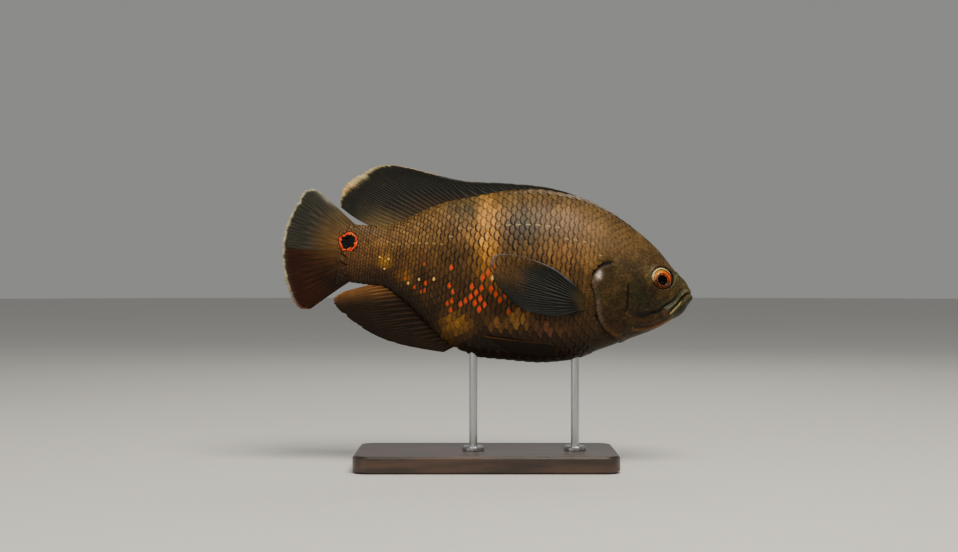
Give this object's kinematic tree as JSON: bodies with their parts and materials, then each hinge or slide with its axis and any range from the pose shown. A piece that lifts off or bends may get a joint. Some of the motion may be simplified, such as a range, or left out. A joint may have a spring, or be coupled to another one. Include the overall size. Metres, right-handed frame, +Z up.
{
  "type": "oscar fish model",
  "caption": "Life-size oscar cichlid, deep-bodied freshwater fish swimming with its snout a little down, held over a flat base by slim rods.",
  "frame": {"origin": "centre of the bounding box at the underside of the display base", "axes": "+X towards the fish's head, -Y towards the viewer on its right flank, +Z up"},
  "size_m": [0.3012, 0.096, 0.2217],
  "materials": {
    "skin_head": "wet, smooth",
    "skin_body": "wet, scaled",
    "fin": "wet, ribbed",
    "eye": "polished",
    "stand_wood": "satin lacquer",
    "stand_steel": "satin"
  },
  "bodies": {
    "root": {"head": "skin_head", "lower_jaw": "skin_head", "gill_cover_left": "skin_head", "gill_cover_right": "skin_head", "eye_left": "eye", "eye_right": "eye", "trunk": "skin_body", "tail_stem": "skin_body", "dorsal_fin_spiny": "fin", "dorsal_fin_soft": "fin", "anal_fin": "fin", "caudal_fin": "fin", "pectoral_fin_left": "fin", "pectoral_fin_right": "fin", "pelvic_fin_left": "fin", "pelvic_fin_right": "fin", "stand_base": "stand_wood", "stand_rod_front": "stand_steel", "stand_rod_rear": "stand_steel"}
  },
  "joints": []
}
